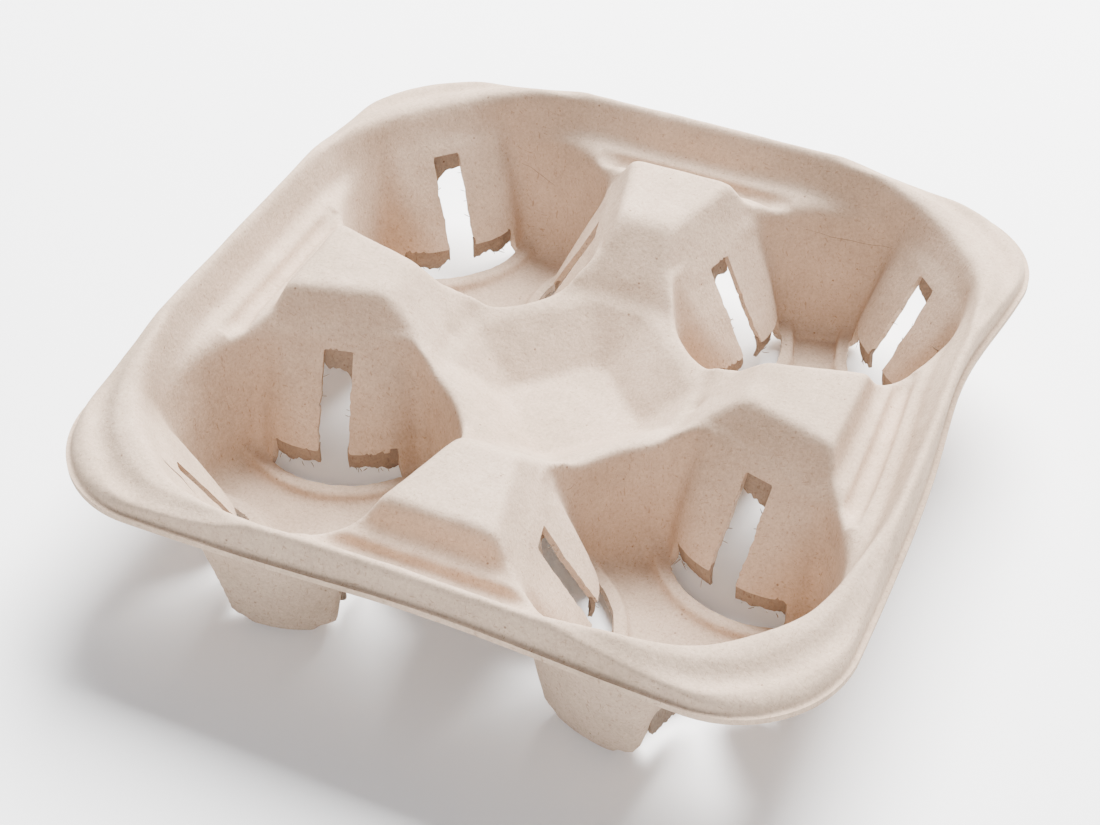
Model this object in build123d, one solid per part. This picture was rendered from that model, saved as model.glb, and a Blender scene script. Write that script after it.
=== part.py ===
from build123d import *
import math
import os

# Four-cup carrier tray, moulded from pulp in one piece.
# Units are millimetres. Z is up and the feet stand on Z = 0. The origin is at
# the centre of the tray. The tray is an even skin: each surface seen from above
# is modelled once as a solid, and the same solid drawn in by the wall's
# thickness is the room under it. The tray is what lies between the two.

# Sheet and overall sizes
wall = 1.8                  # thickness of the moulded skin
tray_height = 57.5          # from the feet to the top of the rim
well_spacing = 108.0        # between the centres of neighbouring wells

# Cup wells
well_radius = 37.0          # inside, at the floor
well_lean = 0.125           # outward lean of the well wall, mm for each mm of height
bulge_reach = 45.7          # from the well's centre to the axis of each bulge
bulge_foot = 29.0           # radius of a bulge at the height of its ledge
bulge_head = 7.7            # radius of a bulge at the height of the deck
bulge_count = 3
bulge_rise = 4.5            # how far a corner bulge carries on above the deck
ledge_height = 3.1          # of the crescent step at a bulge's foot, above the floor
ledge_width = 4.2

# Cut-outs in each bulge
slot_width = 8.6
slot_below_deck = 6.7       # from the deck down to the top of the slot
slit_half_angle = 42.0      # half the turn of the slit around the bulge's axis
slit_height = 8.1           # above the ledge, where the bulge's face ends
band_height = 5.0           # of the torn strip that hangs below that face
web_height = 7.8            # of the torn tongue at the top of the slot

# Small recess in each well's floor, at the foot of one wall
recess_angle = 105.0        # its direction from the well's centre
recess_reach = 27.0         # from the well's centre to its middle
recess_length = 13.0
recess_width = 12.0
recess_corner = 2.5
recess_depth = 0.7

# Rim and skirt
rim_rise = 11.5             # from the deck up to the rim
rim_margin = 2.0            # from a well's mouth to the foot of the rim, at the deck
rim_run = 4.5               # how far the rim's inner face leans out over its rise
rim_flat = 2.5              # width of the rim's top
rim_edge = 2.2              # rounding of the rim's outer edge
skirt_depth = 12.0
skirt_flare = 2.0           # how far the skirt leans out over its depth
lip_width = 1.0             # of the small turned-out edge at the skirt's foot
corner_radius = 32.0        # of the skirt's foot
cavity_radius = 65.0        # of the deck's corners, inside the rim
corner_start = 28.0         # from the skirt's corner, on the diagonal, where the rim starts to drop
corner_slope = 0.28         # fall of the rim towards each corner
channel_radius = 4.0        # of the crescent channel's round section
channel_depth = 1.4
channel_arc = 46.0          # radius of the crescent in plan
channel_reach = 20.0        # from where the rim starts to drop to the channel's line

# Posts between the wells
post_drop = 2.4             # from the rim down to the flat top of a post
post_inner = 7.3            # inner end, inside the line of the well centres
post_outer = 27.1           # outer end, outside that line
post_inner_half = 6.5       # half the width at the inner end
post_outer_half = 15.3      # half the width at the outer end
post_lean = 0.5             # lean of the sides above the deck
post_corner = 3.0           # rounding of the upright corners
post_edge = 3.0             # rounding of the flat top's edge

# Grooves in the deck, between each post and the rim
groove_radius = 2.7
groove_depth = 3.5
groove_half_length = 24.0
groove_from_rim = 7.6       # from the foot of the rim's inner face to the groove's line

# Centre pocket
ring_drop = 8.0             # from the deck down to the ring around the pocket
ring_width = 5.0            # across the ring, between the pocket and a well
pocket_depth = 14.0
pocket_slope = 1.15         # lean of the four faces towards the wells
pocket_corner_slope = 1.07  # lean of the four corners towards the posts
pocket_corner_reach = 3.5   # how much further the pocket reaches towards the posts
dish_width = 6.0            # from the pocket's edge to the foot of the posts

# Heights and places that follow from the sizes above
clear = 1.0                 # how far a cutting shape passes the faces that it cuts
room_drop = 2.0             # how far the room under the skin carries on below its lowest edges
bite = wall / 2             # how far a strip or tongue reaches into the skin it hangs from
floor_top = wall
ledge_top = floor_top + ledge_height
deck = tray_height - rim_rise
post_top = tray_height - post_drop
ring_top = deck - ring_drop
pocket_floor = ring_top - pocket_depth
skirt_foot = tray_height - skirt_depth
centre_line = well_spacing / 2
mouth_radius = well_radius + well_lean * (deck - floor_top)
cavity_half = centre_line + mouth_radius + rim_margin
rim_half = cavity_half + rim_run + rim_flat
foot_half = rim_half + skirt_flare
well_diagonal = centre_line * math.sqrt(2)
bulge_lean = (bulge_foot - bulge_head) / (deck - ledge_top)
pocket_half = well_diagonal - mouth_radius - ring_width / 2
pocket_reach = pocket_half + pocket_corner_reach
dish_radius = pocket_half + dish_width
slot_top = deck - slot_below_deck
face_end = ledge_top + slit_height
slit_depth = 3 * wall       # from the end of a bulge's face inward
quarter_turns = (0, 90, 180, 270)


def square_with_rounds(half, radius):
    return RectangleRounded(2 * half, 2 * half, radius)


def raised(profile, base, top, lean):
    """Carry a flat profile from one height to another, growing by `lean` for each mm."""
    return extrude(Pos(0, 0, base) * profile, top - base, taper=-math.degrees(math.atan(lean)))


def skin_step(inset, lean):
    """Level distance between a leaning wall and the same wall set in by `inset`."""
    return inset * math.sqrt(1 + lean**2)


def cone(base_radius, base, top, lean):
    """A cone frustum standing on height `base`, narrowing by `lean` for each mm."""
    return Pos(0, 0, base) * Cone(
        base_radius,
        base_radius - lean * (top - base),
        top - base,
        align=(Align.CENTER, Align.CENTER, Align.MIN),
    )


def corner_slant(inset):
    """The sloping plane that a rim corner lies in: X runs out along the diagonal."""
    corner_diagonal = foot_half * math.sqrt(2) - corner_radius * (math.sqrt(2) - 1)
    start = (corner_diagonal - corner_start) / math.sqrt(2)
    lowered = tray_height - skin_step(inset, corner_slope)
    return Plane(
        origin=(start, start, lowered),
        x_dir=(1, 1, -corner_slope * math.sqrt(2)),
        z_dir=(corner_slope, corner_slope, math.sqrt(2)),
    )


def envelope(inset):
    """The rim and skirt block, with its four corners cut down at a slant."""
    lean = skirt_flare / skirt_depth
    base = skirt_foot - (room_drop if inset else 0)
    half = rim_half + lean * (tray_height - base) - skin_step(inset, lean)
    block = raised(square_with_rounds(half, corner_radius - inset), base, tray_height - inset, -lean)
    block = fillet(block.edges().group_by(Axis.Z)[-1], rim_edge - inset)
    side = 2 * rim_half
    wedge = corner_slant(inset) * Box(side, side, side, align=(Align.CENTER, Align.CENTER, Align.MIN))
    for turn in quarter_turns:
        block -= Rot(0, 0, turn) * wedge
    return block


def core(inset):
    """The block below the deck, which the wells are sunk into."""
    profile = square_with_rounds(cavity_half + clear + inset, corner_radius + inset)
    return raised(profile, -room_drop if inset else 0, deck - inset, 0)


def cavity(inset):
    """The open space above the deck, inside the rim."""
    lean = rim_run / rim_rise
    half = cavity_half + skin_step(inset, lean) - lean * inset
    return raised(square_with_rounds(half, cavity_radius), deck - inset, tray_height + clear, lean)


def bulge_axis(index):
    """Place of one bulge's axis: the first points at the tray's corner."""
    angle = 45 + index * 360 / bulge_count
    return Pos(centre_line, centre_line, 0) * Rot(0, 0, angle) * Pos(bulge_reach, 0, 0)


def well(inset):
    """One well: a leaning round bowl, less its bulges and their crescent ledges."""
    base = -room_drop - clear if inset else floor_top
    radius = well_radius - well_lean * (floor_top - base) + skin_step(inset, well_lean)
    bowl = raised(Circle(radius), base, tray_height + clear, well_lean)
    bowl = Pos(centre_line, centre_line, 0) * bowl
    foot = base - clear
    foot_radius = bulge_foot + bulge_lean * (ledge_top - foot) - skin_step(inset, bulge_lean)
    bulge = cone(foot_radius, foot, deck + bulge_rise - inset, bulge_lean)
    ledge = raised(Circle(bulge_foot + ledge_width - inset), foot, ledge_top - inset, 0)
    for index in range(bulge_count):
        bowl -= bulge_axis(index) * (bulge + ledge)
    return bowl


def post_profile(grow):
    """The post's outline in plan, grown outward by `grow`."""
    corners = [
        (-post_inner_half, centre_line - post_inner),
        (post_inner_half, centre_line - post_inner),
        (post_outer_half, centre_line + post_outer),
        (-post_outer_half, centre_line + post_outer),
    ]
    outline = make_face(Polyline(*corners, close=True))
    outline = fillet(outline.vertices(), post_corner)
    return offset(outline, amount=grow) if grow else outline


def post(inset):
    """One post: leaning sides down to the deck, then a steeper root between two wells."""
    top = post_top - inset
    grow = inset * (post_lean - math.sqrt(1 + post_lean**2))
    head = extrude(
        Pos(0, 0, top) * post_profile(grow),
        top - deck + inset,
        dir=(0, 0, -1),
        taper=-math.degrees(math.atan(post_lean)),
    )
    head = fillet(head.edges().group_by(Axis.Z)[-1], post_edge - inset)
    spread = post_lean * (post_top - deck) - skin_step(inset, well_lean)
    root = extrude(
        Pos(0, 0, deck - inset) * post_profile(spread),
        deck - inset + (room_drop if inset else 0),
        dir=(0, 0, -1),
        taper=-math.degrees(math.atan(well_lean)),
    )
    return head + root


def dish(inset):
    """The lowered middle of the tray, down to the ring around the pocket."""
    base = ring_top - inset
    radius = dish_radius + inset * (math.sqrt(1 + post_lean**2) - post_lean)
    return raised(Circle(radius), base, tray_height + clear, post_lean)


def pocket(inset):
    """The centre pocket: four slanting faces and four slanting corners round a square floor."""
    base = pocket_floor - inset
    top = deck + clear
    half = pocket_half - pocket_slope * (ring_top - base) + skin_step(inset, pocket_slope)
    faces = raised(Rot(0, 0, 45) * Rectangle(2 * half, 2 * half), base, top, pocket_slope)
    reach = pocket_reach - pocket_corner_slope * (ring_top - base) + skin_step(inset, pocket_corner_slope)
    corners = cone(reach, base, top, -pocket_corner_slope)
    return faces & corners


def groove(inset):
    """The round-bottomed groove in the deck between a post and the rim."""
    line = cavity_half - groove_from_rim
    centre = deck - groove_depth + groove_radius
    radius = groove_radius + inset
    bar = Rot(0, 90, 0) * Cylinder(radius, 2 * groove_half_length)
    for end in (-groove_half_length, groove_half_length):
        bar += Pos(end, 0, 0) * Sphere(radius)
    return Pos(0, line, centre) * bar


def corner_channel(inset):
    """The shallow crescent channel in a rim corner, between its two ridges."""
    ring = Torus(channel_arc, channel_radius + inset)
    return corner_slant(0) * Pos(channel_reach - channel_arc, 0, channel_radius - channel_depth) * ring


def form(inset):
    """The solid under the skin that lies `inset` below the tray's upper face."""
    body = envelope(inset) + core(inset)
    body -= cavity(inset)
    body -= dish(inset)
    for turn in quarter_turns:
        body -= Rot(0, 0, turn) * well(inset)
    for turn in quarter_turns:
        body += Rot(0, 0, turn) * post(inset)
    body -= pocket(inset)
    for turn in quarter_turns:
        body -= Rot(0, 0, turn) * groove(inset)
        body -= Rot(0, 0, turn) * corner_channel(inset)
    return body


def lip():
    """The small turned-out edge at the foot of the skirt."""
    outer = square_with_rounds(foot_half + lip_width, corner_radius + lip_width)
    inner = square_with_rounds(foot_half - wall, corner_radius - wall)
    return raised(outer - inner, skirt_foot, skirt_foot + wall, 0)


def arc_slab(inner, outer, base, top):
    """Part of a ring about a bulge's axis, on the side that faces the well's centre."""
    ring = Circle(outer) - Circle(inner)
    reach = 2 * outer
    side = reach * math.tan(math.radians(slit_half_angle))
    sector = make_face(Polyline((0, 0), (-reach, side), (-reach, -side), close=True))
    return raised(ring & sector, base, top, 0)


def cut_out():
    """The slot up a bulge and the slit round its foot."""
    depth = bulge_foot - slot_width / 2
    slot = Pos(-bulge_foot - clear, 0, floor_top + ledge_height) * Box(
        depth,
        slot_width,
        slot_top - ledge_top,
        align=(Align.MIN, Align.CENTER, Align.MIN),
    )
    face_radius = bulge_foot - bulge_lean * slit_height
    slit = arc_slab(face_radius - slit_depth, bulge_foot, -clear, face_end)
    return slot + slit


def torn_strips():
    """What is left in the openings: a strip below the bulge's face and a tongue in the slot."""
    face_radius = bulge_foot - bulge_lean * slit_height
    strip = arc_slab(face_radius - wall, face_radius, face_end - band_height, face_end + bite)
    strip -= Pos(-bulge_foot, 0, 0) * Box(2 * bulge_foot, slot_width, 2 * deck)
    slot_head_radius = bulge_foot - bulge_lean * (slot_top - ledge_top)
    tongue = Pos(-slot_head_radius, 0, slot_top - web_height) * Box(
        wall,
        slot_width + 2 * bite,
        web_height + bite,
        align=(Align.MIN, Align.CENTER, Align.MIN),
    )
    return strip + tongue


def floor_recess():
    """The shallow rounded rectangle pressed into a well's floor."""
    outline = Rot(0, 0, recess_angle) * Pos(recess_reach, 0, 0)
    outline *= RectangleRounded(recess_length, recess_width, recess_corner)
    return Pos(centre_line, centre_line, 0) * raised(outline, floor_top - recess_depth, floor_top + clear, 0)


def tray():
    body = form(0) - form(wall) + lip()
    for turn in quarter_turns:
        body -= Rot(0, 0, turn) * floor_recess()
        for index in range(bulge_count):
            place = Rot(0, 0, turn) * bulge_axis(index)
            body -= place * cut_out()
            body += place * torn_strips()
    return body


carrier = tray()
os.makedirs("parts", exist_ok=True)
export_step(carrier, "parts/carrier_tray.step")
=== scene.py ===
"""Moulded-pulp cup carrier: the pressed sheet, its torn openings, their loose fibres and the stage."""

import math
from typing import NamedTuple

import bpy
import numpy as np
from bpy.props import FloatProperty, FloatVectorProperty, PointerProperty
from mathutils import Matrix, Vector


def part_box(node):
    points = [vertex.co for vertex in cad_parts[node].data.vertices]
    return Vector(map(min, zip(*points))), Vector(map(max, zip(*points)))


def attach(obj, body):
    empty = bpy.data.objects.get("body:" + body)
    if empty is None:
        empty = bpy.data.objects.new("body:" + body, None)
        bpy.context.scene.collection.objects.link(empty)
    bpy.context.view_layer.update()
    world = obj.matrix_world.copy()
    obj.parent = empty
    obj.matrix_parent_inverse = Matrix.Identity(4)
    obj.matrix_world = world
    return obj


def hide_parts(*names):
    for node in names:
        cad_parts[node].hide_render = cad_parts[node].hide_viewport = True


bl_info = {
    "name": "Moulded-pulp cup carrier",
    "version": (1, 0, 0),
    "blender": (4, 5, 0),
    "location": "3D View > Sidebar > Cup carrier",
    "description": "Builds a four-cup carrier pressed from pulp, with its torn openings",
    "category": "Mesh",
}

MM = 0.001
NODE = "carrier_tray"
BODY = "root"

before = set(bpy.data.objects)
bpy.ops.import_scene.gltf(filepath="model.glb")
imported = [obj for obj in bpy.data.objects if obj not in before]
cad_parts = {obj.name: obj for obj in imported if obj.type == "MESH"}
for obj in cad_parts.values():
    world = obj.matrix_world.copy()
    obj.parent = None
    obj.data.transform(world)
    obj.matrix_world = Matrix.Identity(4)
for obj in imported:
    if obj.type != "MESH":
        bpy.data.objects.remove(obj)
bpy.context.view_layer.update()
CAD_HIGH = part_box(NODE)[1]
TRAY_HEIGHT = CAD_HIGH.z / MM
LIP_HALF = CAD_HIGH.x / MM

# Sizes below are in millimetres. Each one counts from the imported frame's box or from a size on the panel.
# A lean is millimetres sideways for each millimetre of height.

# Rim, skirt and lip
LIP_WIDTH = 1.0
LIP_RISE = 1.7
FOOT_HALF = LIP_HALF - LIP_WIDTH
SKIRT_DEPTH = 12.0
SKIRT_FLARE = 2.0
RIM_RISE = 11.5
RIM_MARGIN = 9.0
RIM_RUN = 4.5
RIM_CROWN = 0.8
CORNER_RADIUS = 32.0
CREST_INSET = 2.6
CREST_RADIUS = 57.0
CREST_SHARE = 0.86
CAVITY_RADIUS = 65.0
CORNER_DROP_FROM = 110.0
CORNER_SLOPE = 0.28

# Crescent channels in the corners of the rim
CHANNEL_LINE = 129.8
CHANNEL_ARC = 46.0
CHANNEL_RADIUS = 4.0
CHANNEL_DEPTH = 1.5

# Wells, their bulges and the ledges at the bulges' feet
WELL_LEAN = 0.125
BULGE_REACH = 45.7
BULGE_FOOT = 29.0
BULGE_LEAN = 0.545
BULGE_HEAD_HALF = 19.0
BULGE_HEAD_CORNER = 4.0
BULGE_ANGLES = (45.0, 165.0, 285.0)
LEDGE_HEIGHT = 3.1
LEDGE_RADIUS = 33.2
RING_MOUTH_BLEND = 2.4
RIM_MOUTH_WIDENING = 3.2
RECESS_ANGLE = 105.0
RECESS_REACH = 27.0
RECESS_HALF = (6.5, 6.0)
RECESS_DEPTH = 0.8

# Posts, and the small bump or dent on their inner ends, for the back, left, front and right post in turn.
# A radius below nothing leaves it out.
POST_DROP = 2.3
POST_INNER = 46.7
POST_OUTER = 81.1
POST_LEAN = 0.545
POST_END_LEAN = 0.38
PIMPLE_PLACE = (40.9, 42.2)
PIMPLE_RADII = (2.7, 2.3, -9.0, -9.0)
DIMPLE_PLACE = (35.4, 40.6)
DIMPLE_RADII = (-9.0, 2.0, -9.0, 2.6)

# Grooves between the posts and the rim
GROOVE_LINE = 91.4
GROOVE_RADIUS = 2.7
GROOVE_DEPTH = 3.6
GROOVE_HALF_LENGTH = 25.0
GROOVE_RUN_OUT = 6.0

# Ring and pocket in the middle
RING_DROP = 8.0
DISH_RADIUS = 37.4
DISH_LEAN = 0.5
POCKET_HALF = 31.4
POCKET_DEPTH = 14.0
POCKET_SLOPE = 1.15
POCKET_CORNER = 35.0
POCKET_CORNER_SLOPE = 1.07

# Slots, slits and what hangs in them
SLOT_HALF = 4.3
SLOT_TOP = 39.3
SHUT_SLOT_SHARE = 0.4
SLIT_HALF_ANGLE = 42.0
FACE_END = 13.0
BAND_DROP = 6.3
TONGUE_DROP = 6.6
TEAR_THICKNESS = 1.1

# Warp
DRAWN_IN = 5.2
FRONT_LIP_LIFT = 3.6
SIDE_LIP_LIFT = 2.0
FRONT_SAG = 2.8

# Mesh
GRID_COUNT = 449
EVENING_ROUNDS = 6
MOST_FACES = 196000
SHARP_ANGLE = 50.0

# Pulp's looks, with the specks' spacing in millimetres
PALE_PULP = "#C6AE99"
DARK_PULP = "#B39C87"
HAIR_COLOUR = "#A68E78"
SPECK_COLOUR = "#8C7460"
SPECK_SPACING = 7.5

# Stage, in metres and degrees
CAMERA_PLACE = (0.17770, -0.40246, 0.41456)
CAMERA_TURN = 24.60
CAMERA_RISE = 41.66
CAMERA_LENS = 67.7
SOFTBOXES = (
    ("top softbox", (-0.02, 0.86, 1.15), 1.0, 142.0),
    ("front softbox", (0.4, -1.3, 0.8), 0.9, 12.0),
)
SOFTBOX_AIM = (0, 0, 0.03)
SKY_COLOUR = "#EAF1FF"
SKY_STRENGTH = 0.34
FLOOR_REACH = 6.0


class Mark(NamedTuple):
    """A crack line on a well's wall, dark with the torn pulp's painted shade, by bearings round the well in
    degrees and heights over the foot.
    """

    quarter: int
    bearings: tuple
    heights: tuple
    sag: float
    radius: float


MARKS = (
    Mark(quarter=2, bearings=(49, 54), heights=(46, 33), sag=0, radius=0.34),
    Mark(quarter=2, bearings=(50, 56), heights=(43, 30), sag=0, radius=0.22),
    Mark(quarter=1, bearings=(14, -12), heights=(33, 25), sag=-1, radius=0.10),
    Mark(quarter=0, bearings=(120, 68), heights=(39, 39), sag=4, radius=0.10),
    Mark(quarter=0, bearings=(22, 26), heights=(27, 26), sag=0, radius=0.28),
    Mark(quarter=3, bearings=(244, 249), heights=(33, 33), sag=0.5, radius=0.12),
)


def linear(code):
    """An sRGB hex colour as linear red, green, blue and alpha."""
    channels = [int(code[i : i + 2], 16) / 255 for i in (1, 3, 5)]
    return [c / 12.92 if c <= 0.04045 else ((c + 0.055) / 1.055) ** 2.4 for c in channels] + [1.0]


def smooth_max(a, b, blend):
    """The larger of two fields, with a parabola of width `blend` laid over the crease between them."""
    share = np.clip(0.5 + 0.5 * (a - b) / blend, 0, 1)
    return b + (a - b) * share + blend * share * (1 - share)


def smooth_min(a, b, blend):
    """The smaller of two fields, with the crease filled in the same way."""
    return -smooth_max(-a, -b, blend)


def smooth_step(value, start, end):
    """Rises from 0 to 1 between start and end as three squares less two cubes."""
    t = np.clip((value - start) / (end - start), 0, 1)
    return t * t * (3 - 2 * t)


def rounded_square(x, y, half, radius):
    """Level distance outside a square of that half width with rounded corners, negative inside."""
    qx = np.abs(x) - (half - radius)
    qy = np.abs(y) - (half - radius)
    return np.hypot(np.maximum(qx, 0), np.maximum(qy, 0)) + np.minimum(np.maximum(qx, qy), 0) - radius


def hashed(ix, iy, iz, seed):
    """A repeatable value from -1 to 1 for each whole-number point of a lattice."""
    n = ix * 73856093 ^ iy * 19349663 ^ iz * 83492791 ^ (seed * 2654435761 & 0x7FFFFFFF)
    n = (n ^ (n >> 13)) * 1274126177
    n = (n ^ (n >> 16)) & 0xFFFFF
    return n / 524287.5 - 1


def lattice_noise(points, size, seed):
    """Smooth noise from -1 to 1: lattice values `size` apart, blended by smooth steps along each axis."""
    q = points / size
    cell = np.floor(q).astype(np.int64)
    t = q - cell
    t = t * t * (3 - 2 * t)
    total = 0.0
    for dx in (0, 1):
        for dy in (0, 1):
            for dz in (0, 1):
                weight = (
                    np.where(dx, t[:, 0], 1 - t[:, 0])
                    * np.where(dy, t[:, 1], 1 - t[:, 1])
                    * np.where(dz, t[:, 2], 1 - t[:, 2])
                )
                total = total + weight * hashed(cell[:, 0] + dx, cell[:, 1] + dy, cell[:, 2] + dz, seed)
    return total


def quarter_fold(x, y):
    """Turn each point by quarter turns into the quadrant where x and y are both positive."""
    turn = np.where(x >= 0, np.where(y >= 0, 0, 3), np.where(y >= 0, 1, 2))
    fx = np.choose(turn, [x, y, -x, -y])
    fy = np.choose(turn, [y, -x, -y, x])
    return fx, fy, turn


def turned(x, y, quarters):
    """Points of the first quadrant turned on by whole quarter turns, the reverse of quarter_fold."""
    cos, sin = ((1, 0), (0, 1), (-1, 0), (0, -1))[quarters]
    return x * cos - y * sin, x * sin + y * cos


def post_fold(x, y):
    """Turn each point by quarter turns so that the nearest post lies along positive y."""
    turn = np.where(np.abs(y) >= np.abs(x), np.where(y >= 0, 0, 2), np.where(x >= 0, 3, 1))
    across = np.choose(turn, [x, y, -x, -y])
    along = np.choose(turn, [y, -x, -y, x])
    return across, along, turn


class Sheet:
    """The pressed sheet's upper face as a field: negative in the pulp side, positive in the air.

    Each feature is a slanting plane, cone, rounded box or tube as a distance field; smooth maxima
    cut one from another and smooth minima join them, and the blend widths are the pressed radii.
    """

    def __init__(self, size):
        self.spacing = size.well_spacing / MM / 2
        self.radius = size.well_radius / MM
        self.floor = size.thickness / MM
        self.thickness = size.thickness / MM
        self.deck = TRAY_HEIGHT - RIM_RISE
        self.ring = self.deck - RING_DROP
        self.post_top = TRAY_HEIGHT - POST_DROP
        self.skirt_foot = TRAY_HEIGHT - SKIRT_DEPTH
        self.cavity_half = FOOT_HALF - RIM_MARGIN

    def bulge_axes(self):
        """Places of the three bulge axes around the folded well."""
        return [
            (
                self.spacing + BULGE_REACH * math.cos(math.radians(a)),
                self.spacing + BULGE_REACH * math.sin(math.radians(a)),
                math.radians(a),
            )
            for a in BULGE_ANGLES
        ]

    def bulge_outline(self, z):
        """A bulge's level outline: how far its front is from the axis, its half width and corner radius.

        It is a full circle at its foot and turns into a post's straight side at the top. The
        width shrinks evenly with height and the corners by the square of what is left above.
        """
        ledge_top = self.floor + LEDGE_HEIGHT
        share = (z - ledge_top) / (self.post_top - ledge_top)
        front = BULGE_FOOT - BULGE_LEAN * (z - ledge_top)
        half = BULGE_FOOT + (BULGE_HEAD_HALF - BULGE_FOOT) * share
        corner = BULGE_HEAD_CORNER + (BULGE_FOOT - BULGE_HEAD_CORNER) * np.clip(1 - share, 0, 1) ** 2
        return front, half, corner

    def rim(self, x, y, z):
        """The rim block, less the open space inside it."""
        lean = SKIRT_FLARE / SKIRT_DEPTH
        outline = rounded_square(x, y, FOOT_HALF, CORNER_RADIUS)
        skirt = (outline + lean * (z - self.skirt_foot)) / math.hypot(1, lean)
        diagonal = (np.abs(x) + np.abs(y)) / math.sqrt(2)
        fall = CORNER_SLOPE * 3 * np.logaddexp(0, (diagonal - CORNER_DROP_FROM) / 3)
        top = z - (TRAY_HEIGHT + RIM_CROWN * smooth_step(diagonal, 118, 106) - fall)
        block = smooth_max(skirt, top, 3.0)
        lean = RIM_RUN / RIM_RISE
        wall = rounded_square(x, y, self.cavity_half, CAVITY_RADIUS) - lean * (z - self.deck)
        cavity = smooth_max(wall / math.hypot(1, lean), self.deck - z, 2.5)
        return smooth_max(block, -cavity, 2.4)

    def well(self, px, py, z):
        """A well's open space in the folded quadrant: a leaning bowl less its bulges and ledges."""
        out = np.hypot(px - self.spacing, py - self.spacing)
        bowl = (out - self.radius - WELL_LEAN * (z - self.floor)) / math.hypot(1, WELL_LEAN)
        space = smooth_max(bowl, self.floor - z, 6.0)
        ledge_top = self.floor + LEDGE_HEIGHT
        front, half, corner = self.bulge_outline(z)
        for ax, ay, angle in self.bulge_axes():
            dx, dy = px - ax, py - ay
            forward = -(dx * math.cos(angle) + dy * math.sin(angle))
            side = np.abs(dx * math.sin(angle) - dy * math.cos(angle))
            qx, qy = side - half + corner, forward - front + corner
            beyond = np.hypot(np.maximum(qx, 0), np.maximum(qy, 0))
            face = beyond + np.minimum(np.maximum(qx, qy), 0) - corner
            away = np.hypot(dx, dy)
            ledge = smooth_max(away - LEDGE_RADIUS, z - ledge_top, 1.6)
            bulge = smooth_min(face / math.hypot(1, BULGE_LEAN), ledge, 0.8)
            space = smooth_max(space, -bulge, 3.6)
        return space

    def with_post(self, body, across, along, z):
        """Join a post: a plateau whose flanks run on down as the faces of the bulges on both its sides.

        The join is tight where a flank carries on a bulge's face and soft round the post's two ends.
        """
        ax, ay, angle = self.bulge_axes()[1]
        dx, dy = np.abs(across) - ax, along - ay
        front, _, _ = self.bulge_outline(z)
        drop = self.post_top - z
        flank = (-(dx * math.cos(angle) + dy * math.sin(angle)) - front) / math.hypot(1, BULGE_LEAN)
        near = (POST_INNER - along - POST_LEAN * drop) / math.hypot(1, POST_LEAN)
        far = (along - POST_OUTER - POST_END_LEAN * drop) / math.hypot(1, POST_END_LEAN)
        ends = smooth_max(near, far, 1.5)
        sides = smooth_max(flank, ends, 2.4)
        post = smooth_max(smooth_max(sides, -drop, 2.2), self.ring - 2 - z, 5.0)
        return smooth_min(body, post, 0.6 + 2.6 * smooth_step(ends - flank, -4, 0))

    def with_post_marks(self, body, across, along, z, turn):
        """Join the small bump, and cut the small dent, on a post's inner end: two balls half sunk in it."""
        bump = np.hypot(np.hypot(across, along - PIMPLE_PLACE[0]), z - PIMPLE_PLACE[1])
        body = smooth_min(body, bump - np.choose(turn, PIMPLE_RADII), 1.8)
        dent = np.hypot(np.hypot(across, (along - DIMPLE_PLACE[0]) / 1.2), z - DIMPLE_PLACE[1])
        return smooth_max(body, -(dent - np.choose(turn, DIMPLE_RADII)), 1.6)

    def recess(self, px, py, z):
        """The shallow oblong recess in a well's floor, lying square to its bearing."""
        angle = math.radians(RECESS_ANGLE)
        dx = px - self.spacing - RECESS_REACH * math.cos(angle)
        dy = py - self.spacing - RECESS_REACH * math.sin(angle)
        side = np.abs(dx * math.sin(angle) - dy * math.cos(angle)) - RECESS_HALF[0]
        out = np.abs(dx * math.cos(angle) + dy * math.sin(angle)) - RECESS_HALF[1]
        return smooth_max(np.maximum(side, out), self.floor - RECESS_DEPTH - z, 0.5)

    def dish(self, x, y, z):
        """The open cone over the ring."""
        cone = (np.hypot(x, y) - DISH_RADIUS - DISH_LEAN * (z - self.ring)) / math.hypot(1, DISH_LEAN)
        return smooth_max(cone, self.ring - z, 3.0)

    def pocket(self, diagonal, reach, z):
        """The eight-sided pocket: four slopes across the diagonals and four across the posts' lines."""
        depth = self.ring - z
        face = (diagonal - POCKET_HALF + POCKET_SLOPE * depth) / math.hypot(1, POCKET_SLOPE)
        corner = (reach - POCKET_CORNER + POCKET_CORNER_SLOPE * depth) / math.hypot(1, POCKET_CORNER_SLOPE)
        return smooth_max(smooth_max(face, corner, 1.2), self.ring - POCKET_DEPTH - z, 1.3)

    def groove(self, across, along, z):
        """A tube sunk in the deck beside the rim, which rises out of it at both ends."""
        past = np.maximum(np.abs(across) - GROOVE_HALF_LENGTH, 0)
        centre = self.deck - GROOVE_DEPTH + GROOVE_RADIUS + 0.3 * past
        tube_space = np.hypot(along - GROOVE_LINE, z - centre) - GROOVE_RADIUS
        return np.maximum(tube_space, past - GROOVE_RUN_OUT)

    def channel(self, x, y, diagonal, z):
        """A tube bent in a level arc, which follows the corner's falling top."""
        middle = (CHANNEL_LINE - CHANNEL_ARC) / math.sqrt(2)
        offset = np.hypot(np.abs(x) - middle, np.abs(y) - middle) - CHANNEL_ARC
        surface = TRAY_HEIGHT - CORNER_SLOPE * (diagonal - CORNER_DROP_FROM)
        return np.hypot(offset, z - surface - CHANNEL_RADIUS + CHANNEL_DEPTH) - CHANNEL_RADIUS

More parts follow.
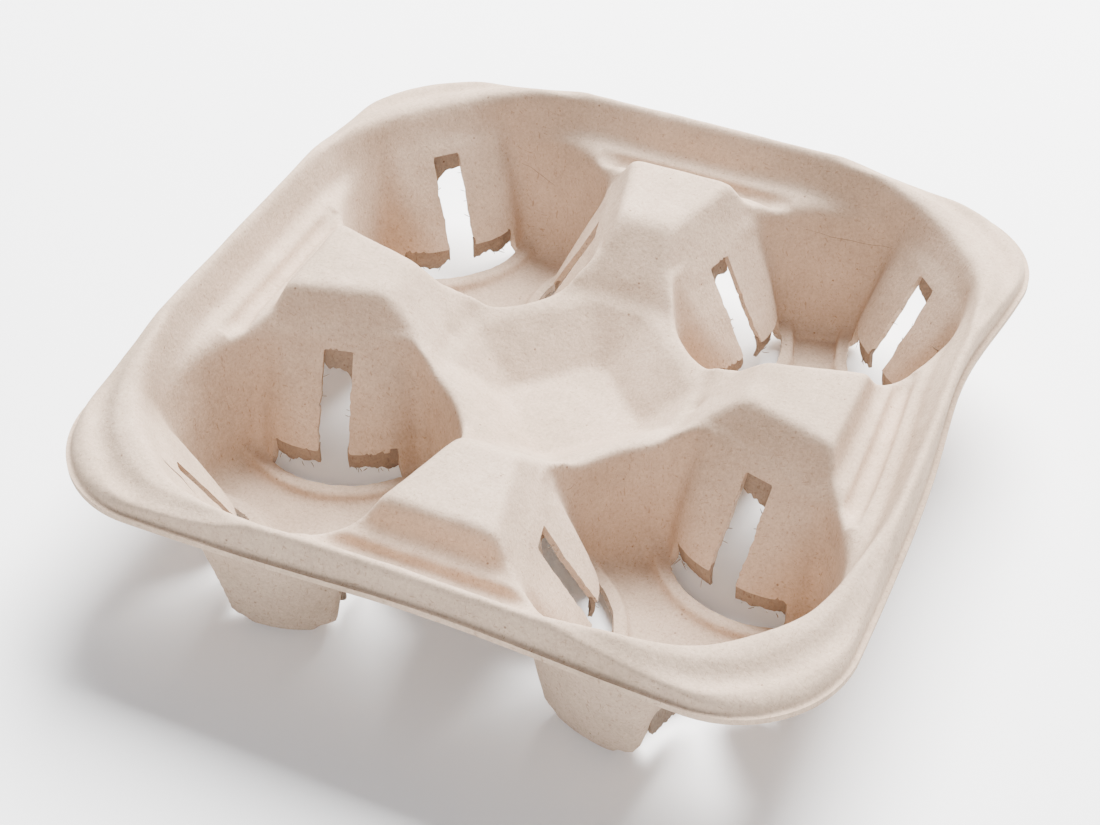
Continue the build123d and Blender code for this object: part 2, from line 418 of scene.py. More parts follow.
    def field(self, points):
        """The whole upper face at rows of x, y, z in millimetres."""
        x, y, z = points.T
        px, py, _ = quarter_fold(x, y)
        across, along, turn = post_fold(x, y)
        reach = np.maximum(np.abs(x), np.abs(y))
        diagonal = (np.abs(x) + np.abs(y)) / math.sqrt(2)
        body = smooth_max(self.rim(x, y, z), -self.dish(x, y, z), 2.4)
        mouth = RING_MOUTH_BLEND + RIM_MOUTH_WIDENING * smooth_step(reach, 62, 84)
        body = smooth_max(body, -self.well(px, py, z), mouth)
        body = self.with_post(body, across, along, z)
        body = self.with_post_marks(body, across, along, z, turn)
        body = smooth_max(body, -self.recess(px, py, z), 0.8)
        body = smooth_max(body, -self.pocket(diagonal, reach, z), 2.2)
        body = smooth_max(body, -self.groove(across, along, z), 2.2)
        body = smooth_max(body, -self.channel(x, y, diagonal, z), 1.6)
        outside = rounded_square(x, y, FOOT_HALF, CORNER_RADIUS)
        return smooth_min(body, np.maximum(z - self.skirt_foot - LIP_RISE, -6 - outside), 0.5)

    def slope(self, points, field=None):
        """The field's value and gradient, the second from one small step along each axis."""
        field = field or self.field
        value = field(points)
        step = 0.01
        sides = []
        for axis in range(3):
            moved = points.copy()
            moved[:, axis] += step
            sides.append((field(moved) - value) / step)
        return value, np.stack(sides, axis=1)

    def settle(self, points, level=0.0, times=1):
        """Move points along the field's slope on to the surface where it has that level."""
        for _ in range(times):
            value, slope = self.slope(points)
            step = (value - level) / np.maximum((slope**2).sum(1), 0.2)
            points = points - np.clip(step, -3, 3)[:, None] * slope
        return points

    def height(self, x, y):
        """Height of the upper face over each x, y, by halving the span that holds it."""
        low = np.full(x.shape, -4.0)
        high = np.full(x.shape, TRAY_HEIGHT + 6)
        for _ in range(22):
            middle = (low + high) / 2
            air = self.field(np.stack([x, y, middle], axis=1)) > 0
            high = np.where(air, middle, high)
            low = np.where(air, low, middle)
        return (low + high) / 2


def along_rounded_square(part, half, radius):
    """A point on a rounded square's side: part runs from -1 to 1, corner middle to corner middle."""
    straight = half - radius
    run = np.abs(part) * (straight + radius * math.pi / 4)
    angle = np.clip((run - straight) / np.maximum(radius, 1e-6), 0, None)
    out = np.where(run > straight, straight + radius * np.cos(angle), half)
    side = np.where(run > straight, straight + radius * np.sin(angle), run)
    return out, np.sign(part) * side


def square_rings(count):
    """Places of a square grid whose rings grow from a point to the crest and on to the lip."""
    u, v = np.meshgrid(np.linspace(-1, 1, count), np.linspace(-1, 1, count), indexing="ij")
    ring = np.maximum(np.abs(u), np.abs(v))
    inner = np.clip(ring / CREST_SHARE, 0, 1)
    outer = np.clip((ring - CREST_SHARE) / (1 - CREST_SHARE), 0, 1)
    crest_half = FOOT_HALF - CREST_INSET
    half = crest_half * inner + (LIP_HALF - crest_half) * outer
    radius = CREST_RADIUS * inner**2 + (CORNER_RADIUS + LIP_WIDTH - CREST_RADIUS) * outer
    radius = np.minimum(radius, half)
    wide = np.abs(u) >= np.abs(v)
    part = np.where(wide, v, u) / np.maximum(ring, 1e-9)
    out, side = along_rounded_square(part, half, radius)
    x = np.where(wide, np.sign(u) * out, side)
    y = np.where(wide, side, np.sign(v) * out)
    return x, y, ring


def on_outline(x, y, half, radius):
    """The nearest point of a rounded square's outline, by three steps along its distance."""
    for _ in range(3):
        distance = rounded_square(x, y, half, radius)
        step = 0.01
        gx = (rounded_square(x + step, y, half, radius) - distance) / step
        gy = (rounded_square(x, y + step, half, radius) - distance) / step
        x, y = x - distance * gx, y - distance * gy
    return x, y


def relaxed_grid(sheet, count, rounds):
    """A grid on the sheet, from the rings' places and the height over each, then evened out.

    In each round every point moves to the middle of its four neighbours and settles back on the
    surface along the field's slope. The outermost ring slides only along the lip's outline.
    """
    x, y, ring = square_rings(count)
    grid = np.stack([x, y, sheet.height(x.ravel(), y.ravel()).reshape(x.shape)], axis=-1)
    edge = ring > 1 - 1e-6
    lip = LIP_HALF, CORNER_RADIUS + LIP_WIDTH
    grid[edge, 2] = sheet.skirt_foot + LIP_RISE
    for _ in range(rounds):
        moved = grid.copy()
        moved[1:-1, 1:-1] = (grid[2:, 1:-1] + grid[:-2, 1:-1] + grid[1:-1, 2:] + grid[1:-1, :-2]) / 4
        moved[~edge] = sheet.settle(moved[~edge])
        grid = moved
    grid[edge, 0], grid[edge, 1] = on_outline(grid[edge, 0], grid[edge, 1], *lip)
    return grid


def opening_distance(sheet, points):
    """Distance outside the torn openings, negative where the sheet is gone.

    Each bulge has an upright slot and a slit round its foot; noise along the edges tears them.
    One corner's slot has stayed nearly shut.
    """
    x, y, z = points.T
    px, py, turn = quarter_fold(x, y)
    rag = 0.30 * lattice_noise(points, 1.1, 5) + 0.45 * lattice_noise(points, 3.6, 6)
    nearest = np.full(len(points), 50.0)
    for number, (ax, ay, angle) in enumerate(sheet.bulge_axes()):
        dx, dy = px - ax, py - ay
        forward = -(dx * math.cos(angle) + dy * math.sin(angle))
        side = dx * math.sin(angle) - dy * math.cos(angle)
        away = np.hypot(dx, dy)
        nearly_shut = (turn == 2) & (number == 0)
        half = np.where(nearly_shut, SHUT_SLOT_SHARE * SLOT_HALF, SLOT_HALF)
        slot = np.maximum(np.abs(side) - half, z - SLOT_TOP)
        beside = (np.abs(np.arctan2(side, forward)) - math.radians(SLIT_HALF_ANGLE)) * away
        inner_edge = away - BULGE_FOOT - 0.6 + 0.5 * rag
        slit = np.maximum.reduce([beside, z - FACE_END - 0.3 * rag, inner_edge])
        torn_side = smooth_step(SLOT_TOP - z, 5, 11)
        gone = np.maximum(np.minimum(slot + 0.9 * rag * torn_side, slit), -forward)
        gone = np.maximum(gone, inner_edge)
        nearest = np.minimum(nearest, gone)
    return nearest


def snap_to_openings(sheet, grid):
    """Slide the points that lie near an opening's edge on to it, and say which are gone."""
    points = grid.reshape(-1, 3)
    cell = np.sqrt(((grid[1:, 1:] - grid[:-1, :-1]) ** 2).sum(-1) / 2)
    cell = np.pad(cell, ((0, 1), (0, 1)), mode="edge").ravel()
    distance = opening_distance(sheet, points)
    near = np.flatnonzero(np.abs(distance) < 2.5)
    for _ in range(2):
        close = near[np.abs(opening_distance(sheet, points[near])) < 0.62 * cell[near]]
        part = points[close]
        _, normal = sheet.slope(part)
        normal /= np.linalg.norm(normal, axis=1)[:, None]
        value, edge = sheet.slope(part, field=lambda p: opening_distance(sheet, p))
        edge -= (edge * normal).sum(1)[:, None] * normal
        step = value / np.maximum((edge**2).sum(1), 0.3)
        points[close] = sheet.settle(part - step[:, None] * edge)
    distance = opening_distance(sheet, points)
    return points.reshape(grid.shape), (distance < -0.12 * cell).reshape(grid.shape[:2])


def wear(points):
    """Uneven drying and handling, as offsets in millimetres along the sheet's normal."""
    broad = 0.34 * lattice_noise(points, 31, 11) + 0.22 * lattice_noise(points, 14, 12)
    fine = 0.10 * lattice_noise(points, 5.5, 13) + 0.05 * lattice_noise(points, 2.4, 14)
    return broad + fine


def bent(points):
    """The tray's warp from drying and handling.

    The right side is drawn in, most at its lip. The front lip rises between the two corners,
    and the front rim sags beside the left one.
    """
    x, y, z = points.T
    low = 1 - smooth_step(z, 47, 57)
    beside = smooth_step(y, 28, -60) * 12
    inward = DRAWN_IN * smooth_step(x, 66, 108) * np.exp(-(((y - 30) / (34 + beside)) ** 2))
    inward *= smooth_step(z, 14, 44)
    inward *= 0.55 + 0.45 * low
    front = smooth_step(-y, 88, 104)
    lift = FRONT_LIP_LIFT * np.exp(-(((x - 12) / 46) ** 2)) * front * low
    lift += SIDE_LIP_LIFT * np.exp(-(((y - 25) / 40) ** 2)) * smooth_step(x, 90, 106) * low
    sag = FRONT_SAG * np.exp(-(((x + 56) / 24) ** 2)) * smooth_step(-y, 82, 98) * (1 - low)
    return np.stack([x - inward, y, z + (lift - sag) * smooth_step(z, 30, 45)], axis=1)


def shell_mesh(sheet, grid, gone):
    """Upper face, lower face and the edges between them, as one closed set of corners and faces.

    The lower face is each upper point taken in to the field's level at one thickness down.
    A grid square is split along its shorter diagonal, and a triangle stays where all its corners do.
    """
    count = grid.shape[0]
    upper = grid.reshape(-1, 3)
    _, normal = sheet.slope(upper)
    normal /= np.linalg.norm(normal, axis=1)[:, None]
    lower = upper - sheet.thickness * normal
    inside = rounded_square(upper[:, 0], upper[:, 1], FOOT_HALF, CORNER_RADIUS) < -0.5
    lower[inside] = sheet.settle(lower[inside], -sheet.thickness, 2)
    offset = wear(upper)[:, None] * normal
    edge = smooth_step(rounded_square(upper[:, 0], upper[:, 1], LIP_HALF, CORNER_RADIUS + LIP_WIDTH), -8, 0)
    offset *= (1 - 0.7 * edge)[:, None]
    upper, lower = bent(upper + offset), bent(lower + offset)
    lower[:, 2] = np.maximum(lower[:, 2], 0)
    index = np.arange(count * count).reshape(count, count)
    a, b, c, d = index[:-1, :-1], index[1:, :-1], index[1:, 1:], index[:-1, 1:]
    leaning = ((upper[a] - upper[c]) ** 2).sum(-1) < ((upper[b] - upper[d]) ** 2).sum(-1)
    first = np.where(leaning[..., None], np.stack([a, b, c], -1), np.stack([a, b, d], -1))
    second = np.where(leaning[..., None], np.stack([a, c, d], -1), np.stack([b, c, d], -1))
    faces = np.concatenate([first.reshape(-1, 3), second.reshape(-1, 3)])
    faces = faces[~gone.ravel()[faces].any(1)]
    sides = np.concatenate([faces[:, [0, 1]], faces[:, [1, 2]], faces[:, [2, 0]]])
    key = sides[:, 0].astype(np.int64) * count * count + sides[:, 1]
    back = sides[:, 1].astype(np.int64) * count * count + sides[:, 0]
    border = sides[~np.isin(key, back)]
    shift = count * count
    rim = np.concatenate(
        [
            np.stack([border[:, 1], border[:, 0], border[:, 0] + shift], 1),
            np.stack([border[:, 1], border[:, 0] + shift, border[:, 1] + shift], 1),
        ]
    )
    faces = np.concatenate([faces, faces[:, ::-1] + shift, rim])
    points = np.concatenate([upper, lower])
    used, faces = np.unique(faces, return_inverse=True)
    return points[used], faces.reshape(-1, 3)


def thick_strip(outer, inner):
    """A closed strip from two matching grids of points: two faces and the four edges between."""
    rows, columns = outer.shape[:2]
    index = np.arange(rows * columns).reshape(rows, columns)
    shift = rows * columns
    a, b, c, d = index[:-1, :-1], index[1:, :-1], index[1:, 1:], index[:-1, 1:]
    front = np.stack([a, b, c, d], -1).reshape(-1, 4)
    back = front[:, ::-1] + shift
    loop = np.concatenate([index[:, 0], index[-1, 1:], index[-2::-1, -1], index[0, -2::-1]])
    walls = np.stack([loop[1:], loop[:-1], loop[:-1] + shift, loop[1:] + shift], -1)
    points = np.concatenate([outer.reshape(-1, 3), inner.reshape(-1, 3)])
    return points, np.concatenate([front, back, walls])


def joined(parts):
    """Several sets of corners and faces as one."""
    points, faces, start = [], [], 0
    for part_points, part_faces in parts:
        points.append(part_points)
        faces.append(part_faces + start)
        start += len(part_points)
    return np.concatenate(points), np.concatenate(faces)


def from_bulge(turn, axis, forward, side, height):
    """Place points given from a bulge's axis: forward to the well's middle, sideways and up."""
    ax, ay, angle = axis
    px = ax - forward * math.cos(angle) + side * math.sin(angle)
    py = ay - forward * math.sin(angle) - side * math.cos(angle)
    x, y = turned(px, py, turn)
    return np.stack([x, y, height], axis=-1)


def torn_band(sheet, turn, number, axis, hand):
    """The ragged band that hangs below one half of a bulge's face.

    It runs from the slot to the slit's end, and from inside the sheet down to a noisy lower
    edge; it hangs upright, a little behind the face, and curls at its foot.
    """
    seed = 100 + turn * 10 + number * 3 + hand
    front, half, corner = sheet.bulge_outline(FACE_END)
    flat_half = half - corner
    run = np.linspace(SLOT_HALF - 0.2, math.radians(SLIT_HALF_ANGLE + 3.5) * front, 46)[:, None]
    swing = np.maximum(run - flat_half, 0) / corner
    flat = np.concatenate([run, np.zeros_like(run), np.zeros_like(run)], axis=1)
    ragged = 1.3 * lattice_noise(flat, 4.5, seed) + 0.7 * lattice_noise(flat, 1.6, seed + 50)
    ragged += 0.35 * lattice_noise(flat, 0.7, seed + 90)
    foot = FACE_END - BAND_DROP + ragged
    share = np.linspace(0, 1, 15)[None, :]
    height = (FACE_END + 1.2) * (1 - share) + foot[:, None] * share
    below = np.maximum(FACE_END - height, 0)
    wide = np.broadcast_to(run, height.shape)
    points = np.stack([wide, height, np.zeros_like(height)], -1).reshape(-1, 3)
    wave = 0.35 * lattice_noise(points, 3.5, seed + 7).reshape(height.shape)
    skin = corner - 0.75 + 0.12 * below - 0.03 * below**2 + wave * np.minimum(below / 2, 1)
    skin -= BULGE_LEAN * np.maximum(height - FACE_END, 0)
    grids = []
    for depth in (0.0, TEAR_THICKNESS):
        forward = front - corner + (skin - depth) * np.cos(swing)
        side = np.minimum(run, flat_half) + (skin - depth) * np.sin(swing)
        grids.append(from_bulge(turn, axis, forward, hand * side, height))
    return thick_strip(*grids) if hand < 0 else thick_strip(*[g[::-1] for g in grids])


def slot_tongue(sheet, turn, number, axis):
    """The torn tongue at the top of a slot: an upright flap behind the face, ragged at its foot.

    One side of it runs on down the slot's edge as a narrow strip.
    """
    seed = 300 + turn * 10 + number
    side = np.linspace(-SLOT_HALF - 0.6, SLOT_HALF + 0.6, 30)[:, None]
    flat = np.concatenate([side, np.zeros_like(side), np.zeros_like(side)], axis=1)
    ragged = 1.2 * lattice_noise(flat, 3.0, seed) + 0.5 * lattice_noise(flat, 1.0, seed + 40)
    hand = -1 if (turn + number) % 2 else 1
    strip = 6.5 * np.exp(-(((side[:, 0] - hand * (SLOT_HALF + 0.3)) / 1.0) ** 2))
    foot = SLOT_TOP - TONGUE_DROP - 0.25 * hand * side[:, 0] + ragged - strip
    share = np.linspace(0, 1, 16)[None, :]
    height = (SLOT_TOP + 1.4) * (1 - share) + foot[:, None] * share
    wide = np.broadcast_to(side, height.shape)
    points = np.stack([wide, height, np.zeros_like(height)], -1).reshape(-1, 3)
    wave = 0.3 * lattice_noise(points, 3.0, seed + 7).reshape(height.shape)
    forward = sheet.bulge_outline(SLOT_TOP)[0] - 1.0 + 0.18 * (SLOT_TOP - height) + wave
    depths = (0.0, TEAR_THICKNESS)
    grids = [from_bulge(turn, axis, forward - depth, wide, height) for depth in depths]
    return thick_strip(*[g[::-1] for g in grids])


def tube(line, radius, sides=5):
    """A closed thread round a line of points, thinning to its two ends like a pulled fibre."""
    count = len(line)
    run = np.gradient(line, axis=0)
    run /= np.linalg.norm(run, axis=1)[:, None]
    lift = np.cross(run, np.array([0.31, 0.17, 0.94]))
    lift /= np.linalg.norm(lift, axis=1)[:, None]
    over = np.cross(run, lift)
    angle = np.arange(sides) * 2 * math.pi / sides
    thin = radius * (1 - 0.8 * np.abs(np.linspace(-1, 1, count)) ** 3)
    rings = line[:, None] + thin[:, None, None] * (
        np.cos(angle)[None, :, None] * lift[:, None] + np.sin(angle)[None, :, None] * over[:, None]
    )
    index = np.arange(count * sides).reshape(count, sides)
    after = np.roll(index, -1, axis=1)
    walls = np.stack([index[:-1], after[:-1], after[1:], index[1:]], -1).reshape(-1, 4)
    walls = np.concatenate([walls[:, [0, 1, 2]], walls[:, [0, 2, 3]]])
    first = np.stack([index[0, 0] + 0 * index[0, 1:-1], index[0, 2:], index[0, 1:-1]], -1)
    last = np.stack([index[-1, 0] + 0 * index[-1, 1:-1], index[-1, 1:-1], index[-1, 2:]], -1)
    return rings.reshape(-1, 3), np.concatenate([walls, first, last])


def hairline(sheet, mark):
    """A thread half sunk in a well's wall along a mark, with a small wander."""
    share = np.linspace(0, 1, 28)
    (start, end), (low, high) = mark.bearings, mark.heights
    bearing = np.radians(start + (end - start) * share)
    height = low + (high - low) * share - mark.sag * 4 * share * (1 - share)
    reach = sheet.radius + WELL_LEAN * (height - sheet.floor)
    x = sheet.spacing + reach * np.cos(bearing)
    y = sheet.spacing + reach * np.sin(bearing)
    x, y = turned(x, y, mark.quarter)
    line = np.stack([x, y, height], axis=1)
    for axis in range(3):
        line[:, axis] += 0.5 * lattice_noise(line, 3.0, 700 + axis)
    line = sheet.settle(line, times=8)
    _, normal = sheet.slope(line)
    normal /= np.linalg.norm(normal, axis=1)[:, None]
    return tube(line + (wear(line) - 0.4 * mark.radius)[:, None] * normal, mark.radius)


def loose_fibres(sheet, turn, number, axis):
    """Short curled fibres that stand out from the feet of the two bands and from the slot's torn sides."""
    seed = 500 + turn * 10 + number
    pick = np.arange(16)
    rough = [hashed(pick, pick * 3 + 1, pick * 7 + 2, seed + k) for k in range(6)]
    front, half, corner = sheet.bulge_outline(FACE_END)
    along = np.linspace(0, 1, 7)[:, None]
    threads = []
    for k in pick:
        at_slot = k >= 11
        hand = 1 if rough[0][k] > 0 else -1
        if at_slot:
            side = hand * SLOT_HALF
            height = 27.0 + 7.0 * rough[1][k]
            forward = sheet.bulge_outline(height)[0] - 1.0
            heading = np.array([-0.3 + 0.4 * rough[2][k], -hand, 0.5 * rough[3][k]])
        else:
            side = hand * (SLOT_HALF + 1 + 13 * abs(rough[1][k]))
            height = FACE_END - 5.6
            round_part = max(abs(side) - half + corner, 0)
            forward = front - corner + math.sqrt(max(corner**2 - round_part**2, 0)) - 0.8
            heading = np.array([0.5 * rough[2][k], 0.9 * rough[3][k], -0.8])
        length = (1.3 + 1.2 * abs(rough[4][k])) * (0.8 if at_slot else 1.0)
        curl = length * np.array([rough[5][k], rough[2][k], rough[0][k]]) * 0.45
        line = np.array([forward, side, height]) + along * heading * length + along**2 * curl
        line = from_bulge(turn, axis, line[:, 0], line[:, 1], line[:, 2])
        threads.append(tube(line, 0.09 + 0.05 * abs(rough[3][k])))
    return threads


def new_piece(name, points, faces):
    """A mesh object at the origin, from corners in millimetres and rows of face corners."""
    mesh = bpy.data.meshes.new(name)
    faces = np.asarray(faces)
    per_face = faces.shape[1]
    mesh.vertices.add(len(points))
    mesh.vertices.foreach_set("co", (points * MM).astype(np.float32).ravel())
    mesh.loops.add(faces.size)
    mesh.loops.foreach_set("vertex_index", faces.astype(np.int32).ravel())
    mesh.polygons.add(len(faces))
    mesh.polygons.foreach_set("loop_start", np.arange(0, faces.size, per_face, dtype=np.int32))
    mesh.polygons.foreach_set("loop_total", np.full(len(faces), per_face, dtype=np.int32))
    mesh.update(calc_edges=True)
    mesh.validate()
    mesh.shade_smooth()
    mesh.set_sharp_from_angle(angle=math.radians(SHARP_ANGLE))
    obj = bpy.data.objects.new(name, mesh)
    bpy.context.scene.collection.objects.link(obj)
    return obj


def finish_piece(obj, material):
    """Give a piece its material and body."""
    obj.data.materials.append(material)
    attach(obj, BODY)
    return obj


def add_node(tree, kind, links=None, **settings):
    """Add a node, set its sockets by name or number and its own settings, and link its inputs."""
    node = tree.nodes.new(kind)
    for key, value in settings.items():
        if key.startswith("in_"):
            name = key[3:].replace("_", " ")
            node.inputs[int(name) if name.isdigit() else name].default_value = value
        else:
            setattr(node, key, value)
    for name, source in (links or {}).items():
        tree.links.new(source, node.inputs[name])
    return node


def moulded_pulp(name, pale, dark, grain_depth):
    """Wood pulp, formed wet on a screen and dried: matt, warm grey-beige, with a felted face.

    Short fibres lie flat in all directions, so the face shows a fine felt, faint hair-like
    lines, small dark specks, and slow clouding where the pulp settled thicker.
    """
    material = bpy.data.materials.new(name)
    material.use_nodes = True
    tree = material.node_tree
    tree.nodes.clear()
    place = add_node(tree, "ShaderNodeTexCoord").outputs["Object"]

    def noise(size_mm, detail=2.0, rough=0.5, warp=0.0, stretch=None):
        source = place
        if stretch:
            source = add_node(tree, "ShaderNodeMapping", {"Vector": place}, in_Scale=stretch).outputs[0]
        return add_node(
            tree,
            "ShaderNodeTexNoise",
            {"Vector": source},
            in_Scale=1 / (size_mm * MM),
            in_Detail=detail,
            in_Roughness=rough,
            in_Distortion=warp,
        ).outputs["Fac"]

    def ramp(value, *stops):
        node = add_node(tree, "ShaderNodeValToRGB", {"Fac": value})
        elements = node.color_ramp.elements
        while len(elements) < len(stops):
            elements.new(0.5)
        for element, (at, colour) in zip(elements, stops):
            element.position = at
            element.color = colour
        return node.outputs["Color"]

    def math_node(kind, a, b):
        node = tree.nodes.new("ShaderNodeMath")
        node.operation = kind
        for socket, value in zip(node.inputs, (a, b)):
            if isinstance(value, (int, float)):
                socket.default_value = value
            else:
                tree.links.new(value, socket)
        return node.outputs[0]

    def mixed(kind, amount, a, b):
        node = tree.nodes.new("ShaderNodeMix")
        node.data_type = "RGBA"
        node.blend_type = kind
        for socket, value in ((node.inputs[0], amount), (node.inputs[6], a), (node.inputs[7], b)):
            if isinstance(value, (int, float, list)):
                socket.default_value = value
            else:
                tree.links.new(value, socket)
        return node.outputs[2]

    def grey(value):
        return [value] * 3 + [1.0]

    clouds = noise(38, 3.0, 0.55)
    colour = ramp(clouds, (0.32, dark), (0.68, pale))
    felt = noise(0.9, 3.0, 0.7)
    colour = mixed("OVERLAY", 0.5, colour, ramp(felt, (0.3, grey(0.36)), (0.7, grey(0.64))))
    mottle = noise(5.0, 3.0, 0.6)
    colour = mixed("OVERLAY", 0.22, colour, ramp(mottle, (0.3, grey(0.38)), (0.7, grey(0.62))))
    for size_mm, stretch in ((1.9, (9.0, 1.0, 2.0)), (2.1, (1.0, 9.0, 2.0)), (2.0, (3.0, 4.0, 0.6))):
        streaks = noise(size_mm, 1.0, 0.5, 0.6, stretch)
        hair = ramp(streaks, (0.66, grey(0.0)), (0.74, grey(1.0)))
        colour = mixed("MULTIPLY", math_node("MULTIPLY", hair, 0.4), colour, linear(HAIR_COLOUR))
    scatter = {"in_Scale": 1 / (SPECK_SPACING * MM), "in_Randomness": 1.0}
    specks = add_node(tree, "ShaderNodeTexVoronoi", {"Vector": place}, **scatter)
    speck = math_node("LESS_THAN", specks.outputs["Distance"], 0.045)
    colour = mixed("MULTIPLY", math_node("MULTIPLY", speck, 0.6), colour, linear(SPECK_COLOUR))
    shader = add_node(
        tree,
        "ShaderNodeBsdfPrincipled",
        {"Base Color": colour},
        in_Roughness=0.93,
        in_IOR=1.45,
    )
    shader.inputs["Specular IOR Level"].default_value = 0.18
    fine = math_node("MULTIPLY", felt, 0.5)
    coarse = math_node("MULTIPLY", noise(2.2, 2.0, 0.6), 0.7)
    grain = math_node("ADD", fine, coarse)
    bump = add_node(tree, "ShaderNodeBump", {"Height": grain}, in_Strength=0.6, in_Distance=grain_depth)
    tree.links.new(bump.outputs[0], shader.inputs["Normal"])
    add_node(tree, "ShaderNodeOutputMaterial", {"Surface": shader.outputs[0]})
    return material


class CarrierSizes(bpy.types.PropertyGroup):
    """Sizes of the carrier that a user may change."""

    well_spacing: FloatProperty(
        name="Well spacing",
        description="Between the centres of neighbouring wells",
        default=0.108,
        unit="LENGTH",
    )
    well_radius: FloatProperty(
        name="Well radius", description="Inside radius of a well at its floor", default=0.037, unit="LENGTH"
    )
    thickness: FloatProperty(
        name="Sheet thickness", description="Thickness of the pressed pulp", default=0.0018, unit="LENGTH"
    )


class CarrierColours(bpy.types.PropertyGroup):
    """Colours of the pulp."""

    pale: FloatVectorProperty(
        name="Pale pulp",
        description="Colour of the lighter pulp",
        default=linear(PALE_PULP)[:3],
        subtype="COLOR",
        size=3,
    )
    dark: FloatVectorProperty(
        name="Dark pulp",
        description="Colour of the darker pulp",
        default=linear(DARK_PULP)[:3],
        subtype="COLOR",
        size=3,
    )


def pulp_material(torn=False):
    """The pulp's pressed face, or a copy for the torn pieces with a rougher grain and its colours halved as
    painted shade, each made once.
    """
    name = "moulded pulp, torn, painted shade" if torn else "moulded pulp, felted"
    found = bpy.data.materials.get(name)
    if found:
        return found
    colours = bpy.context.scene.carrier_colours
    # The torn pieces sit set back behind the face, so their copy has its colours halved: painted shade.
    shade = 0.5 if torn else 1.0
    pale, dark = ([c * shade for c in colour] + [1.0] for colour in (colours.pale, colours.dark))
    return moulded_pulp(name, pale, dark, 0.0007 if torn else 0.00035)


class CARRIER_OT_shell(bpy.types.Operator):
    """Build the pressed sheet that stands for the whole tray."""

    bl_idname = "carrier.shell"
    bl_label = "Pressed sheet"

    def execute(self, context):
        sheet = Sheet(context.scene.carrier_sizes)
        grid = relaxed_grid(sheet, GRID_COUNT, EVENING_ROUNDS)
        grid, gone = snap_to_openings(sheet, grid)
        points, faces = shell_mesh(sheet, grid, gone)
        shell = new_piece("pulp_shell", points, faces)
        if len(faces) > MOST_FACES:
            thin = shell.modifiers.new("fewer faces", "DECIMATE")
            thin.ratio = MOST_FACES / len(faces)
            bpy.context.view_layer.update()
            depsgraph = bpy.context.evaluated_depsgraph_get()
            mesh = bpy.data.meshes.new_from_object(shell.evaluated_get(depsgraph))
            shell.modifiers.clear()
            shell.data = mesh
            mesh.shade_smooth()
            mesh.set_sharp_from_angle(angle=math.radians(SHARP_ANGLE))
        finish_piece(shell, pulp_material())
        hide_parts(NODE)
        return {"FINISHED"}


class CARRIER_OT_torn(bpy.types.Operator):
    """Build the torn bands under the bulges and the tongues in the slots."""

    bl_idname = "carrier.torn"
    bl_label = "Torn bands and tongues"

    def execute(self, context):
        sheet = Sheet(context.scene.carrier_sizes)
        bands, tongues = [], []
        for turn in range(4):
            for number, axis in enumerate(sheet.bulge_axes()):
                bands += [torn_band(sheet, turn, number, axis, hand) for hand in (-1, 1)]
                tongues.append(slot_tongue(sheet, turn, number, axis))
        for name, parts in (("torn_bands", bands), ("slot_tongues", tongues)):
            points, faces = joined(parts)
            # Bands and tongues take the torn pulp, whose colours are halved as painted shade.
            finish_piece(new_piece(name, bent(points), faces), pulp_material(torn=True))
        return {"FINISHED"}


class CARRIER_OT_fibres(bpy.types.Operator):
    """Build the loose fibres at the torn edges and the hairlines pressed into the sheet, both dark with the
    torn pulp's painted shade.
    """

    bl_idname = "carrier.fibres"
    bl_label = "Fibres and hairlines"

    def execute(self, context):
        sheet = Sheet(context.scene.carrier_sizes)
        threads = []
        for turn in range(4):
            for number, axis in enumerate(sheet.bulge_axes()):
                threads += loose_fibres(sheet, turn, number, axis)
        lines = [hairline(sheet, mark) for mark in MARKS]
        for name, parts in (("loose_fibres", threads), ("hairlines", lines)):
            points, faces = joined(parts)
            points = bent(points)
            points[:, 2] = np.maximum(points[:, 2], 0.05)
            # Fibres and hairlines take the torn pulp, whose colours are halved as painted shade.
            finish_piece(new_piece(name, points, faces), pulp_material(torn=True))
        return {"FINISHED"}


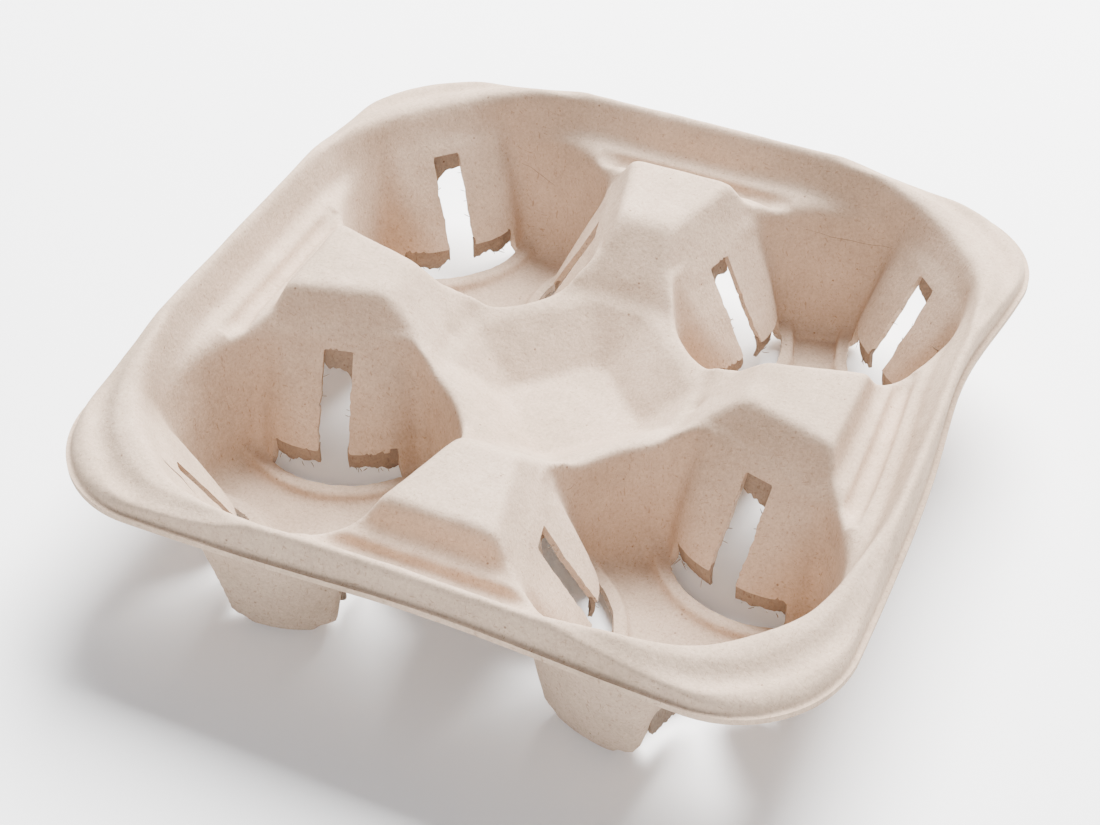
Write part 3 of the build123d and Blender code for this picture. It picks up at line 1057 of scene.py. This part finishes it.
class CARRIER_OT_stage(bpy.types.Operator):
    """Set the pale floor, the soft lights and the camera."""

    bl_idname = "carrier.stage"
    bl_label = "Stage"

    def execute(self, context):
        scene = context.scene
        corners = FLOOR_REACH * np.array([[-1, -1, 0], [1, -1, 0], [1, 1, 0], [-1, 1, 0]]) / MM
        floor = new_piece("stage_floor", corners, [[0, 1, 2, 3]])
        paper = bpy.data.materials.new("matt white paper")
        paper.use_nodes = True
        shader = paper.node_tree.nodes["Principled BSDF"]
        shader.inputs["Base Color"].default_value = linear("#FFFFFF")
        shader.inputs["Roughness"].default_value = 1.0
        shader.inputs["Specular IOR Level"].default_value = 0.0
        floor.data.materials.append(paper)
        world = bpy.data.worlds.new("studio")
        scene.world = world
        world.use_nodes = True
        sky = world.node_tree.nodes["Background"]
        sky.inputs["Color"].default_value = linear(SKY_COLOUR)
        sky.inputs["Strength"].default_value = SKY_STRENGTH
        for name, place, size, power in SOFTBOXES:
            light = bpy.data.lights.new(name, "AREA")
            light.shape = "SQUARE"
            light.size = size
            light.energy = power
            lamp = bpy.data.objects.new(name, light)
            lamp.location = place
            aim = Vector(SOFTBOX_AIM) - Vector(place)
            lamp.rotation_euler = aim.to_track_quat("-Z", "Y").to_euler()
            scene.collection.objects.link(lamp)
        turn, rise = math.radians(CAMERA_TURN), math.radians(CAMERA_RISE)
        back = Vector((math.sin(turn) * math.cos(rise), -math.cos(turn) * math.cos(rise), math.sin(rise)))
        right = Vector((math.cos(turn), math.sin(turn), 0))
        rotation = Matrix((right, back.cross(right), back)).transposed()
        data = bpy.data.cameras.new("camera")
        data.sensor_width = 36.0
        data.lens = CAMERA_LENS
        camera = bpy.data.objects.new("camera", data)
        camera.matrix_world = Matrix.Translation(Vector(CAMERA_PLACE)) @ rotation.to_4x4()
        scene.collection.objects.link(camera)
        scene.camera = camera
        return {"FINISHED"}


class CARRIER_PT_panel(bpy.types.Panel):
    """Sizes, colours and the build steps."""

    bl_idname = "CARRIER_PT_panel"
    bl_label = "Cup carrier"
    bl_space_type = "VIEW_3D"
    bl_region_type = "UI"
    bl_category = "Cup carrier"

    def draw(self, context):
        for group in (context.scene.carrier_sizes, context.scene.carrier_colours):
            for name in group.__annotations__:
                self.layout.prop(group, name)
        for step in STEPS:
            self.layout.operator(step.bl_idname)


STEPS = (CARRIER_OT_shell, CARRIER_OT_torn, CARRIER_OT_fibres, CARRIER_OT_stage)
CLASSES = (CarrierSizes, CarrierColours, *STEPS, CARRIER_PT_panel)


def register():
    for cls in CLASSES:
        bpy.utils.register_class(cls)
    bpy.types.Scene.carrier_sizes = PointerProperty(type=CarrierSizes)
    bpy.types.Scene.carrier_colours = PointerProperty(type=CarrierColours)


def unregister():
    del bpy.types.Scene.carrier_colours
    del bpy.types.Scene.carrier_sizes
    for cls in reversed(CLASSES):
        bpy.utils.unregister_class(cls)


def main():
    register()
    bpy.ops.carrier.shell()
    bpy.ops.carrier.torn()
    bpy.ops.carrier.fibres()
    bpy.ops.carrier.stage()


if __name__ == "__main__":
    main()
